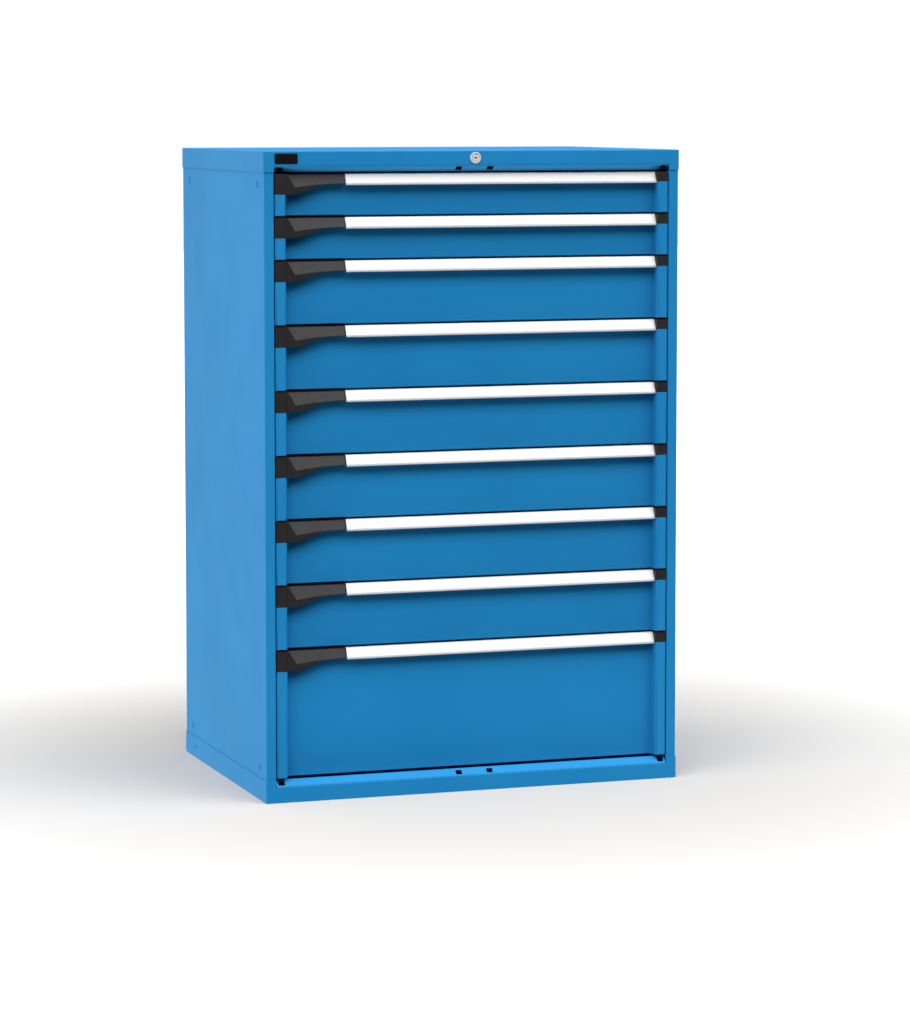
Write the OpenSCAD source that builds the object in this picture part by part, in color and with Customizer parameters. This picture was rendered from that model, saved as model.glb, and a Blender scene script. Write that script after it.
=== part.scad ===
// Industrial drawer cabinet of folded sheet steel with nine full-extension drawers,
// a handle with a thumb latch on each drawer, and one lock that holds them all.
// The origin is the centre of the footprint on the floor, +Z is up and the drawers open along -Y.

/* [Carcass] */
// Width over the top cover
cab_w = 1023; // [900:1:1150]
// Depth over the top cover
cab_d = 725; // [715:1:850]
// Sheet thickness of the carcass
sheet = 1.5; // [1:0.1:2]
// Height of the top cover's skirt
top_h = 48; // [44:1:70]
// Height of the base plinth's skirt
base_h = 52; // [44:1:120]
// Width of a front post
post_w = 23.5; // [21:0.5:40]
// Depth of the fold behind a front post
post_return = 12; // [8:0.5:13]
// Width of the rear flange of a side panel
rear_flange = 22; // [15:1:40]
// Width of an upright, front to back
upright_w = 40; // [30:1:60]
// Distance of the uprights from the ends of the runners
upright_inset = 15; // [5:1:40]

/* [Rail lips] */
// Height of the 45 degree lip of the top and bottom rails
lip_drop = 14; // [12:0.5:18]
// Depth of the flat fold behind the lip
lip_return = 8; // [4:0.5:10]
// Open slit at each end of a lip
lip_slit = 1.5; // [1:0.1:3]
// Width of a door slot in a lip
slot_w = 15; // [10:0.5:20]
// Length of a door slot along the slope of the lip
slot_l = 12; // [8:0.5:13]
// Distance of the two middle slots from the centre
slot_mid_x = 38.5; // [25:0.5:60]
// Distance of an outer slot from the end of its lip
slot_end = 12.5; // [10:0.5:30]
// Diameter of the anchor hole in each side of the plinth
anchor_d = 9; // [6:0.5:14]
// Height of the anchor holes
anchor_z = 27; // [20:1:35]
// Distance of the anchor holes from the back
anchor_back = 92; // [60:1:140]

/* [Drawers] */
// Height of a low drawer's place in the front
low_pitch = 100; // [100:1:120]
// Height of a middle drawer's place in the front
mid_pitch = 150; // [120:1:200]
// Height of the tall drawer's place in the front
tall_pitch = 300; // [200:1:400]
// Gap between two drawer fronts
front_gap = 3; // [2:0.5:5]
// Gap between the base plinth and the lowest front
bottom_gap = 5; // [3:0.5:10]
// Gap between a drawer front and a post
side_gap = 2.5; // [2:0.1:4]
// Width of the flush strip at each end of a front
strip_w = 24; // [23:0.5:32]
// Depth of the fold at the outer edge of a strip
strip_return = 11; // [6:0.5:12]
// Depth of the recessed panel behind the strips
recess = 22; // [22:0.5:26]
// Sheet thickness of a drawer front
front_sheet = 1.5; // [1:0.1:2]
// Sheet thickness of a drawer tray
tray_sheet = 1; // [0.8:0.1:1.5]
// Length inside a tray
tray_l = 612; // [560:1:630]
// Height of a tray's bottom above the lower edge of its front
tray_lift = 8; // [4:0.5:10]
// Distance of a tray's rim below the upper edge of its front
tray_drop = 24; // [22:0.5:26]

/* [Runners] */
// Height of a runner channel
runner_h = 40; // [30:1:42]
// Height of a runner channel above the bottom of its tray
runner_lift = 4; // [2:0.5:5]
// Wall of a runner channel
runner_wall = 1.5; // [1:0.1:2]
// Length of each runner member
runner_l = 600; // [520:1:610]
// Distance of the runners behind the plane of the strips
runner_back = 41; // [41:0.5:50]
// Running gap above and below a middle runner
runner_gap = 0.4; // [0.3:0.05:0.6]
// Running gap beside a middle runner
runner_side_gap = 0.7; // [0.4:0.05:0.9]
// Gap between the drawer channel and the cabinet channel
channel_gap = 1.5; // [1:0.1:3]
// Flange and web thickness of a middle runner
mid_wall = 3; // [2:0.1:4]
// Gap between a post's inner edge line and the face of the uprights
upright_gap = 0.5; // [0:0.1:1]

/* [Handle] */
// Clearance between a handle and the upper edge line of its front
handle_top = 1; // [0.5:0.1:2]
// Start of the label face below the upper edge line
label_top = 2.5; // [2:0.1:4]
// Height of the label face
label_h = 20; // [17:0.5:24]
// Depth of the label face's upper edge behind the strips
label_top_y = 16; // [14:0.5:17]
// Depth of the label face's lower edge behind the strips
label_low_y = 6.4; // [3:0.1:8]
// Wall of the handle
handle_wall = 2; // [1.5:0.1:2.2]
// Height of the lip under the label face
handle_lip = 4.5; // [3:0.1:6]
// How far that lip stands in front of the label face
lip_proud = 1.5; // [1:0.1:2]
// Length of the screw flange against the recessed panel
screw_flange = 11; // [8:0.5:12]
// Height of the right end cap
cap_h = 24; // [22:0.5:30]
// Depth of the block of each end piece
end_depth = 12; // [10:0.5:12.5]
// Wall of an end piece
end_wall = 2.7; // [2:0.1:3]
// End clearance between handle, end pieces and latch
end_gap = 0.3; // [0.2:0.05:0.5]

/* [Latch] */
// Height of the left end housing
housing_h = 48; // [44:0.5:54]
// Length of the place that the latch takes beside the housing
latch_l = 148; // [120:1:180]
// Height of the latch at its handle end
latch_low_h = 24.5; // [23:0.5:28]
// Start of the curved lower edge, from the housing
curve_start = 13; // [8:0.5:20]
// Length of the curved lower edge
curve_l = 99; // [70:1:100]
// How far the latch's front bows back at its handle end
latch_bow = 6.2; // [4:0.1:7]
// Wall of the latch
latch_wall = 2.5; // [2:0.1:2.8]
// Wall at each end of the latch
latch_end_wall = 3; // [2:0.1:4]
// Left end of the sloped thumb face at its upper edge, from the housing
thumb_start = 4.3; // [3:0.1:8]
// How far the left end of the thumb face leans over for each mm of height
thumb_lean = 0.62; // [0.3:0.01:0.8]
// Gap between the latch and its neighbours
latch_gap = 0.6; // [0.4:0.05:1]
// Depth of the pivot behind the strips
pivot_y = 17; // [16.8:0.05:17.2]
// Pivot below the upper edge line
pivot_drop = 16; // [15.5:0.1:17]
// Diameter of the latch's stub pins
stub_d = 4; // [3:0.1:4.2]
// Radial clearance of a stub pin in its ear
stub_gap = 0.05; // [0.02:0.01:0.1]
// Length of a stub pin
stub_l = 6; // [5:0.5:8]
// Outer diameter of a pivot ear
ear_d = 7.6; // [7:0.1:7.8]
// Width of a pivot ear
ear_w = 5; // [4:0.5:6]
// Thickness of the housing's back plate
back_plate = 2; // [1.5:0.1:2]
// Height of the latch's catch arm
arm_h = 8; // [5:0.5:9]
// Thickness of the catch arm
arm_t = 3; // [2:0.1:3.2]
// Gap between the end of the catch arm and the post
arm_gap = 0.3; // [0.2:0.05:0.5]

/* [Lock] */
// Diameter of the lock's face
lock_d = 26; // [22:0.5:28]
// Distance of the lock's axis below the top
lock_drop = 17; // [16:0.5:18]
// How far the lock's face stands out of the rail
lock_proud = 2.5; // [1.5:0.1:4]
// Diameter of the lock's body in the rail
lock_body_d = 19; // [17:0.5:20]
// Radial clearance of the lock's body in the rail
lock_body_gap = 0.1; // [0.05:0.05:0.5]
// Length of the lock's body behind the rail's face
lock_body_l = 22; // [18:0.5:23]
// Diameter of the turning plug
plug_d = 13; // [10:0.1:14]
// Radial running gap of the plug
plug_gap = 0.05; // [0.02:0.01:0.1]
// Length of the plug behind the rail's face
plug_l = 26; // [24:0.5:27]
// Width of the keyhole's slot
key_w = 2.2; // [1.5:0.1:2.8]
// Length of the keyhole's slot, which lies level
key_l = 7; // [5:0.1:8]
// Depth of the keyhole
key_depth = 8; // [4:0.5:12]
// Thickness of the cam, the rod and the bar
flat_t = 3; // [2:0.1:4]
// Radius of the cam's crank pin
crank_r = 6; // [5:0.1:6.5]
// Diameter of the crank pin and of the bar's pin
crank_d = 4; // [3:0.1:4.5]
// Clearance of a pin in its slot and of the lock parts in their guides
slot_gap = 0.35; // [0.3:0.05:0.5]
// Height of the lock rod
rod_h = 13; // [12:0.5:13.5]
// Gap between the rod and the sheet above it
rod_gap = 0.7; // [0.5:0.05:0.9]
// Width of the lock bar
bar_w = 12; // [10:0.5:12.5]
// Distance of the bar's pin below the top
bar_pin_drop = 16; // [15.5:0.1:17]
// Height of a tooth of the lock bar
tooth_h = 10; // [8:0.5:11]
// How far a tooth lies above the runner when unlocked
tooth_clear = 1; // [0.5:0.1:2]
// How far a tooth lies under its bracket when unlocked
tooth_drop = 2; // [1:0.1:2.5]
// How far a tooth reaches over a bracket sideways
tooth_bite = 8; // [4:0.5:10]
// Gap between a tooth and its bracket, front to back
tooth_gap = 1; // [0.5:0.1:2]
// Weld gap between a tooth and the edge of the bar
tooth_weld = 0.1; // [0.05:0.05:0.3]
// Height of a drawer's lock bracket
bracket_h = 8; // [6:0.5:8]
// Thickness of a drawer's lock bracket
bracket_t = 4; // [3:0.5:4]
// Wall of a rod guide or bar guide
guide_wall = 2; // [1.5:0.1:2.5]
// Length of a guide along the part that it carries
guide_l = 16; // [10:1:20]

/* [Badge and plugs] */
// Width of the blank badge plate
badge_w = 55; // [40:1:80]
// Height of the badge plate
badge_h = 23.6; // [18:0.2:26]
// Thickness of the badge plate
badge_t = 1; // [0.5:0.1:2]
// Distance of the badge plate below the top
badge_drop = 5.4; // [5:0.1:8]
// Distance of the badge plate from the outer edge of the rail
badge_side = 26.5; // [20:0.5:40]
// Head diameter of a side plug
plug_head_d = 14; // [11:0.5:18]
// Head height of a side plug
plug_head_h = 1.5; // [1:0.1:4]
// Diameter of a plug's hole in the side panel
plug_hole_d = 9; // [6:0.5:10]
// Radial clearance of a plug in its hole
plug_hole_gap = 0.1; // [0.05:0.05:0.5]
// Distance of the side plugs from the front and back
plug_side = 62.5; // [40:0.5:90]
// Distance of the side plugs from the floor and the top
plug_end = 76; // [66:1:140]

/* [Hidden] */
$fn = 48;
eps = 1;

// Drawer 1 is at the top.
pitches = [low_pitch, low_pitch, for (i = [1:6]) mid_pitch, tall_pitch];
count = len(pitches);
function sum_from(n) = n > count ? 0 : pitches[n - 1] + sum_from(n + 1);
function front_low(n) = base_h + bottom_gap + sum_from(n + 1);
function front_top(n) = front_low(n) + pitches[n - 1] - front_gap;
cab_h = base_h + bottom_gap + sum_from(1) + top_h;

// Planes of the carcass: the lid and the plinth lap over it by one sheet.
rail_y = -cab_d / 2;
body_hw = cab_w / 2 - sheet;
body_hd = cab_d / 2 - sheet;
strip_y = -body_hd;
open_hw = body_hw - post_w;
front_hw = open_hw - side_gap;
tray_hw = front_hw - strip_w;
inner_x = body_hw - sheet;

// Planes of a drawer, front to back.
panel_y = strip_y + recess;
tray_y0 = panel_y + front_sheet;
tray_y1 = tray_y0 + tray_l;
function tray_low(n) = front_low(n) + tray_lift;
function tray_rim(n) = front_top(n) - tray_drop;

// Runner members across the space between the tray and the uprights.
runner_x = open_hw - upright_gap;
channel_d = (runner_x - tray_hw - channel_gap) / 2;
runner_y0 = strip_y + runner_back;
runner_y1 = runner_y0 + runner_l;
function runner_z(n) = tray_low(n) + runner_lift + runner_h / 2;
mid_hh = runner_h / 2 - runner_wall - runner_gap;
mid_x0 = tray_hw + runner_wall + runner_side_gap;
mid_x1 = runner_x - runner_wall - runner_side_gap;

// The label face is a plane: its depth at a height w under the front's upper edge line (w is negative).
label_slope = (label_top_y - label_low_y) / label_h;
label_tilt = atan(label_slope);
function label_y(w) = label_top_y + (w + label_top) * label_slope;

// The latch, measured from the housing's inner edge.
latch_x0 = -tray_hw;
latch_u0 = front_sheet + latch_gap;
latch_u1 = latch_l - latch_gap - end_wall;
function smooth(s) = s <= 0 ? 0 : s >= 1 ? 1 : s * s * (3 - 2 * s);
function latch_low(u) = -housing_h + (housing_h - latch_low_h) * smooth((u - curve_start) / curve_l);
function bow_y(u) = latch_bow * (1 - pow(1 - u / latch_l, 2));

// Lock train, front to back: cam, rod, bar, then the brackets of the drawers.
lock_z = cab_h - lock_drop;
cam_y = rail_y + plug_l;
rod_y = cam_y + flat_t + slot_gap;
bar_y = rod_y + flat_t + slot_gap;
bracket_y = bar_y + flat_t + tooth_gap;
crank_x = -crank_r * sin(45);
crank_z = crank_r * cos(45);
lock_travel = 2 * crank_r * sin(45);
rod_z1 = cab_h - sheet - rod_gap;
rod_z0 = rod_z1 - rod_h;
bar_x0 = open_hw + sheet;
bar_x1 = bar_x0 + bar_w;
bar_x = (bar_x0 + bar_x1) / 2;
bar_pin_z = cab_h - bar_pin_drop;
bracket_x = front_hw - front_sheet;
tooth_x = bracket_x - tooth_bite;
function tooth_z(n) = tray_low(n) + runner_lift + runner_h + tooth_clear;
function bracket_z(n) = tooth_z(n) + tooth_h + tooth_drop;
bar_guide_drawers = [2, 5, 8];
rod_guide_count = 3;

// Finishes
paint = [0.15, 0.50, 0.76];
black_plastic = [0.16, 0.16, 0.16];
bright_steel = [0.75, 0.76, 0.78];
zinc = [0.62, 0.64, 0.66];
white_label = [0.94, 0.94, 0.95];

cabinet_nodes = ["left_side_panel", "right_side_panel", "back_panel", "top_cover", "base_plinth",
    "runner_uprights", "cabinet_runners", "side_plugs", "badge_plate",
    "lock_barrel", "lock_plug", "lock_cam", "lock_rod", "lock_bar", "lock_guides"];
drawer_pieces = ["body", "handle", "handle_ends", "latch", "mid_runners"];

// A block between two corners.
module block(low, high) {
    translate(low) cube(high - low);
}

// A (y, z) profile drawn out along X.
module along_x(x0, x1) {
    translate([x0, 0, 0]) rotate([90, 0, 90]) linear_extrude(x1 - x0) children();
}

// An (x, z) profile drawn out along Y.
module along_y(y0, y1) {
    translate([0, y1, 0]) rotate([90, 0, 0]) linear_extrude(y1 - y0) children();
}

// A round bar along X or along Y.
module bar_x_round(d, x0, x1) {
    translate([x0, 0, 0]) rotate([0, 90, 0]) cylinder(d = d, h = x1 - x0);
}

module bar_y_round(d, y0, y1) {
    translate([0, y0, 0]) rotate([-90, 0, 0]) cylinder(d = d, h = y1 - y0);
}

// The piece and its mirror image on the left.
module both_sides() {
    children();
    mirror([1, 0, 0]) children();
}

// Section of a rail's folded lip, for a pan that stands on z = 0 and is h high.
module lip_section(h) {
    fold = h - lip_drop;
    inner = sheet * (sqrt(2) - 1);
    translate([rail_y, 0]) polygon([
        [0, fold - 2 * sheet], [0, fold], [lip_drop, h], [lip_drop + lip_return, h],
        [lip_drop + lip_return, h - sheet], [lip_drop + inner, h - sheet],
        [sheet, fold - inner], [sheet, fold - 2 * sheet]]);
}

// One door slot through a lip, square to its slope.
module lip_slot(x, h) {
    translate([x, rail_y + lip_drop / 2, h - lip_drop / 2])
        rotate([45, 0, 0]) cube([slot_w, slot_l, 6 * sheet], center = true);
}

// A pan with skirts whose front skirt ends in a folded lip between the posts.
module rail_pan(h) {
    difference() {
        union() {
            difference() {
                block([-cab_w / 2, rail_y, 0], [cab_w / 2, cab_d / 2, h]);
                block([-body_hw, rail_y + sheet, sheet], [body_hw, body_hd, h + eps]);
                block([-open_hw, rail_y - eps, h - lip_drop], [open_hw, rail_y + sheet + eps, h + eps]);
            }
            along_x(-open_hw + lip_slit, open_hw - lip_slit) lip_section(h);
        }
        both_sides() {
            lip_slot(slot_mid_x, h);
            lip_slot(open_hw - lip_slit - slot_end, h);
        }
    }
}

module top_cover() {
    color(paint) difference() {
        translate([0, 0, cab_h]) mirror([0, 0, 1]) rail_pan(top_h);
        translate([0, 0, lock_z])
            bar_y_round(lock_body_d + 2 * lock_body_gap, rail_y - eps, rail_y + sheet + eps);
    }
}

module base_plinth() {
    color(paint) difference() {
        rail_pan(base_h);
        both_sides() translate([0, cab_d / 2 - anchor_back, anchor_z])
            bar_x_round(anchor_d, body_hw - eps, cab_w / 2 + eps);
    }
}

// Right side panel: sheet, front post with its fold, rear flange, holes for the plugs.
module side_panel() {
    difference() {
        translate([0, 0, sheet]) linear_extrude(cab_h - 2 * sheet) {
            translate([inner_x, -body_hd]) square([sheet, 2 * body_hd]);
            translate([open_hw, -body_hd]) square([post_w, sheet]);
            translate([open_hw, -body_hd]) square([sheet, post_return]);
            translate([body_hw - rear_flange, body_hd - sheet]) square([rear_flange, sheet]);
        }
        plug_places() bar_x_round(plug_hole_d, inner_x - eps, body_hw + eps);
    }
}

module plug_places() {
    for (y = [rail_y + plug_side, cab_d / 2 - plug_side], z = [plug_end, cab_h - plug_end])
        translate([0, y, z]) children();
}

module right_side_panel() {
    color(paint) side_panel();
}

module left_side_panel() {
    color(paint) mirror([1, 0, 0]) side_panel();
}

module side_plugs() {
    color(paint) both_sides() plug_places() {
        bar_x_round(plug_hole_d - 2 * plug_hole_gap, inner_x, body_hw);
        bar_x_round(plug_head_d, body_hw, body_hw + plug_head_h);
    }
}

module back_panel() {
    color(paint) block([-inner_x, body_hd - 2 * sheet, sheet], [inner_x, body_hd - sheet, cab_h - sheet]);
}

// Channel section that stands between the runners and a side panel.
module upright(y0) {
    translate([0, y0, sheet]) linear_extrude(cab_h - 2 * sheet) difference() {
        translate([runner_x, 0]) square([inner_x - runner_x, upright_w]);
        translate([runner_x + sheet, sheet]) square([inner_x - runner_x, upright_w - 2 * sheet]);
    }
}

module runner_uprights() {
    color(paint) both_sides() {
        upright(runner_y0 + upright_inset);
        upright(runner_y1 - upright_inset - upright_w);
    }
}

// Channel section in (x, z), open to +X, with its web on x = 0.
module channel() {
    difference() {
        translate([0, -runner_h / 2]) square([channel_d, runner_h]);
        translate([runner_wall, -runner_h / 2 + runner_wall])
            square([channel_d, runner_h - 2 * runner_wall]);
    }
}

module cabinet_runners() {
    color(zinc) both_sides() for (n = [1:count])
        along_y(runner_y0, runner_y1) translate([runner_x, runner_z(n)]) mirror([1, 0]) channel();
}

// The middle member of a telescopic runner: two flanges and a web.
module mid_runner(n) {
    along_y(runner_y0, runner_y1) translate([0, runner_z(n)]) {
        translate([mid_x0, -mid_hh]) square([mid_wall, 2 * mid_hh]);
        translate([mid_x1 - mid_wall, -mid_hh]) square([mid_wall, 2 * mid_hh]);
        translate([mid_x0, -mid_wall / 2]) square([mid_x1 - mid_x0, mid_wall]);
    }
}

module drawer_mid_runners(n) {
    color(zinc) both_sides() mid_runner(n);
}

// The folded end of a drawer front on the right: strip, outer fold and the wall of the recess.
module front_end(z0, z1) {
    translate([0, 0, z0]) linear_extrude(z1 - z0) {
        translate([tray_hw - front_sheet, strip_y]) square([strip_w + front_sheet, front_sheet]);
        translate([front_hw - front_sheet, strip_y]) square([front_sheet, strip_return]);
        translate([tray_hw - front_sheet, strip_y]) square([front_sheet, recess + front_sheet]);
    }
    block([tray_hw - front_sheet, strip_y, z0], [front_hw, strip_y + strip_return, z0 + front_sheet]);
}

// The recessed panel with its lower fold, which meets the front of the tray.
module front_panel(n) {
    z0 = front_low(n);
    block([-tray_hw, panel_y, z0], [tray_hw, tray_y0, front_top(n) - handle_top - handle_wall]);
    block([-tray_hw, panel_y, z0], [tray_hw, panel_y + strip_return, z0 + front_sheet]);
}

module tray(n) {
    z0 = tray_low(n);
    difference() {
        block([-tray_hw, panel_y, z0], [tray_hw, tray_y1 + tray_sheet, tray_rim(n)]);
        block([-tray_hw + tray_sheet, tray_y0, z0 + tray_sheet],
            [tray_hw - tray_sheet, tray_y1, tray_rim(n) + eps]);
    }
}

module drawer_body(n) {
    color(paint) {
        front_panel(n);
        front_end(front_low(n), front_top(n) - cap_h);
        mirror([1, 0, 0]) front_end(front_low(n), front_top(n) - housing_h);
        tray(n);
        both_sides() along_y(runner_y0, runner_y1) translate([tray_hw, runner_z(n)]) channel();
        block([tray_hw, bracket_y, bracket_z(n)],
            [bracket_x, bracket_y + bracket_t, bracket_z(n) + bracket_h]);
    }
}

// Section of the handle: top flange, label face, lower lip and screw flange.
module handle_section() {
    face_end = label_top + label_h;
    wall_y = handle_wall / cos(label_tilt);
    polygon([
        [recess + front_sheet, -handle_top], [label_top_y, -handle_top], [label_top_y, -label_top],
        [label_low_y, -face_end], [label_low_y - lip_proud, -face_end],
        [label_low_y - lip_proud, -face_end - handle_lip], [label_low_y + wall_y, -face_end - handle_lip],
        [label_low_y + wall_y, -face_end],
        [label_y(-label_top - handle_wall) + wall_y, -label_top - handle_wall],
        [recess - handle_wall, -handle_top - handle_wall], [recess - handle_wall, -handle_top - screw_flange],
        [recess, -handle_top - screw_flange], [recess, -handle_top - handle_wall],
        [recess + front_sheet, -handle_top - handle_wall]]);
}

module drawer_handle(n) {
    color(white_label) translate([0, strip_y, front_top(n)])
        along_x(latch_x0 + latch_l, tray_hw - end_wall - end_gap) handle_section();
}

// An ear on the housing's back plate with the bore for a stub pin.
module pivot_ear(u) {
    translate([u, 0, 0]) difference() {
        union() {
            translate([0, pivot_y, -pivot_drop]) bar_x_round(ear_d, 0, ear_w);
            block([0, pivot_y, -pivot_drop - ear_d / 2], [ear_w, recess, -pivot_drop + ear_d / 2]);
        }
        translate([0, pivot_y, -pivot_drop]) bar_x_round(stub_d + 2 * stub_gap, -eps, ear_w + eps);
    }
}

// Left end housing: flush block, roof, back plate, end wall beside the handle and two ears.
module left_housing() {
    block([-strip_w, 0, -housing_h], [front_sheet, end_depth, -handle_top]);
    block([-strip_w, 0, -handle_top - end_wall], [front_sheet, recess, -handle_top]);
    plate_low = -pivot_drop - ear_d / 2 - end_wall;
    block([-strip_w, recess - back_plate, plate_low], [latch_l - end_gap, recess, -handle_top]);
    block([latch_l - end_gap - end_wall, label_top_y, plate_low], [latch_l - end_gap, recess, -handle_top]);
    pivot_ear(latch_u0 + latch_end_wall + latch_gap);
    pivot_ear(latch_u1 - latch_end_wall - latch_gap - ear_w);
}

module right_cap() {
    block([tray_hw - end_wall, 0, -cap_h], [front_hw, end_depth, -handle_top]);
    block([tray_hw - end_wall, 0, -cap_h], [tray_hw, recess, -handle_top]);
}

module drawer_handle_ends(n) {
    color(black_plastic) translate([0, strip_y, front_top(n)]) {
        translate([latch_x0, 0, 0]) left_housing();
        right_cap();
    }
}

// Outline of the latch from the front: level top, S-shaped lower edge.
module latch_outline() {
    steps = 16;
    polygon(concat(
        [[latch_u1, -handle_top], [latch_u0, -handle_top], [latch_u0, -housing_h]],
        [for (i = [0:steps]) let (u = curve_start + curve_l * i / steps) [u, latch_low(u)]],
        [[latch_u1, -latch_low_h]]));
}

// Space in front of a plane parallel to the label face, shifted back by d, in (y, w).
module before_label(d) {
    shift = d / cos(label_tilt);
    low = -housing_h - label_top;
    polygon([[label_y(low) + shift, low], [label_top_y + shift, -label_top],
        [label_top_y + shift, eps], [-housing_h, eps], [-housing_h, low]]);
}

// Space in front of the bowed front, shifted back by d, in (u, y).
module before_bow(d) {
    steps = 12;
    polygon(concat([[-eps, -housing_h], [latch_l + eps, -housing_h], [latch_l + eps, latch_bow + d]],
        [for (i = [0:steps]) let (u = latch_l * (1 - i / steps)) [u, bow_y(u) + d]],
        [[-eps, d]]));
}

module latch_shell() {
    rear = pivot_y + stub_d / 2;
    hollow0 = latch_u0 + latch_end_wall;
    hollow1 = latch_u1 - latch_end_wall;
    difference() {
        along_y(0, rear) latch_outline();
        translate([0, 0, -housing_h - eps]) linear_extrude(housing_h + 2 * eps) before_bow(0);
        // The thumb face, cut back to the plane of the label with a leaning left end
        intersection() {
            along_x(0, latch_l) before_label(0);
            along_y(-housing_h, rear + eps) polygon([
                [thumb_start, eps], [thumb_start + housing_h * thumb_lean, -housing_h],
                [latch_l, -housing_h], [latch_l, eps]]);
        }
        // The hollow behind it, open to the back and below
        difference() {
            block([hollow0, -eps, -housing_h - eps], [hollow1, rear + eps, -handle_top - handle_wall]);
            along_x(0, latch_l) before_label(latch_wall);
            translate([0, 0, -housing_h - eps]) linear_extrude(housing_h + eps) before_bow(latch_wall);
        }
        // Room for the swing behind the lower half
        along_x(-eps, latch_l) polygon([
            [rear, -pivot_drop - stub_d / 2], [rear + eps, -pivot_drop - stub_d / 2],
            [rear + eps, -housing_h - eps], [latch_bow + latch_wall, -housing_h - eps]]);
    }
}

// The catch arm runs behind the housing's block to the edge of the post.
module catch_arm() {
    block([-strip_w - side_gap + arm_gap, pivot_y - arm_t, -pivot_drop - arm_h / 2],
        [latch_u0 + latch_end_wall, pivot_y, -pivot_drop + arm_h / 2]);
}

module drawer_latch(n) {
    color(black_plastic) translate([latch_x0, strip_y, front_top(n)]) {
        latch_shell();
        catch_arm();
        translate([0, pivot_y, -pivot_drop]) {
            bar_x_round(stub_d, latch_u0, latch_u0 + latch_end_wall + stub_l);
            bar_x_round(stub_d, latch_u1 - latch_end_wall - stub_l, latch_u1);
        }
    }
}

module badge_plate() {
    color(black_plastic) translate([-cab_w / 2 + badge_side, rail_y - badge_t, cab_h - badge_drop - badge_h])
        cube([badge_w, badge_t, badge_h]);
}

module lock_barrel() {
    color(bright_steel) translate([0, 0, lock_z]) difference() {
        union() {
            bar_y_round(lock_d, rail_y - lock_proud, rail_y);
            bar_y_round(lock_body_d, rail_y - lock_proud, rail_y + lock_body_l);
        }
        bar_y_round(plug_d + 2 * plug_gap, rail_y - lock_proud - eps, rail_y + lock_body_l + eps);
    }
}

module lock_plug() {
    color(bright_steel) translate([0, 0, lock_z]) difference() {
        bar_y_round(plug_d, rail_y - lock_proud, cam_y);
        block([-key_l / 2, rail_y - lock_proud - eps, -key_w / 2],
            [key_l / 2, rail_y - lock_proud + key_depth, key_w / 2]);
    }
}

// A slot with round ends from one (x, z) point to another.
module slot_between(a, b, d) {
    steps = 12;
    run = b - a;
    turn = atan2(run[1], run[0]);
    polygon([for (end = [[b, turn - 90], [a, turn + 90]], i = [0:steps])
        let (angle = end[1] + 180 * i / steps) end[0] + d / 2 * [cos(angle), sin(angle)]]);
}

module lock_cam() {
    color(zinc) translate([0, 0, lock_z]) {
        along_y(cam_y, cam_y + flat_t) slot_between([0, 0], [crank_x, crank_z], 2 * crank_d);
        translate([crank_x, 0, crank_z]) bar_y_round(crank_d, cam_y, rod_y + flat_t + slot_gap);
    }
}

// The rod has an upright slot for the crank pin and a 45 degree slot for the bar's pin.
module lock_rod() {
    pin_slot = crank_d + 2 * slot_gap;
    end_margin = pin_slot / 2 + guide_wall;
    color(zinc) along_y(rod_y, rod_y + flat_t) difference() {
        union() {
            translate([crank_x - end_margin - guide_wall, rod_z0])
                square([bar_x + end_margin - crank_x + end_margin + guide_wall, rod_h]);
            translate([bar_x - lock_travel - end_margin, bar_pin_z - end_margin])
                square([lock_travel + 2 * end_margin, rod_z1 - bar_pin_z + end_margin]);
        }
        slot_between([crank_x, lock_z + crank_z], [crank_x, lock_z + crank_r], pin_slot);
        slot_between([bar_x, bar_pin_z], [bar_x - lock_travel, bar_pin_z + lock_travel], pin_slot);
    }
}

// Each tooth is a plate of its own, welded to the edge of the bar.
module lock_bar() {
    color(zinc) {
        block([bar_x0, bar_y, tooth_z(count)], [bar_x1, bar_y + flat_t, bar_pin_z + crank_d]);
        for (n = [1:count])
            block([tooth_x, bar_y, tooth_z(n)], [bar_x0 - tooth_weld, bar_y + flat_t, tooth_z(n) + tooth_h]);
        translate([bar_x, 0, bar_pin_z]) bar_y_round(crank_d, rod_y - slot_gap, bar_y + flat_t);
    }
}

// A block on the side panel that the bar runs through.
module bar_guide(n) {
    z0 = tooth_z(n) - tooth_h - guide_l;
    difference() {
        block([bar_x0 - slot_gap - upright_gap, bar_y - slot_gap - guide_wall, z0],
            [inner_x, bar_y + flat_t + slot_gap + guide_wall, z0 + guide_l]);
        block([bar_x0 - slot_gap, bar_y - slot_gap, z0 - eps],
            [bar_x1 + slot_gap, bar_y + flat_t + slot_gap, z0 + guide_l + eps]);
    }
}

// A block under the top cover that the rod runs through.
module rod_guide(x) {
    difference() {
        block([x, rod_y - slot_gap - guide_wall, rod_z0 - slot_gap - guide_wall],
            [x + guide_l, rod_y + flat_t + slot_gap + guide_wall, cab_h - sheet]);
        block([x - eps, rod_y - slot_gap, rod_z0 - slot_gap],
            [x + guide_l + eps, rod_y + flat_t + slot_gap, rod_z1 + slot_gap]);
    }
}

module lock_guides() {
    color(zinc) {
        for (n = bar_guide_drawers) bar_guide(n);
        for (i = [1:rod_guide_count]) rod_guide(bar_x * (i - 0.5) / rod_guide_count);
    }
}

left_side_panel();
right_side_panel();
back_panel();
top_cover();
base_plinth();
runner_uprights();
cabinet_runners();
side_plugs();
badge_plate();
lock_barrel();
lock_plug();
lock_cam();
lock_rod();
lock_bar();
lock_guides();
for (n = [1:count]) {
    drawer_body(n);
    drawer_handle(n);
    drawer_handle_ends(n);
    drawer_latch(n);
    drawer_mid_runners(n);
}
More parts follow.
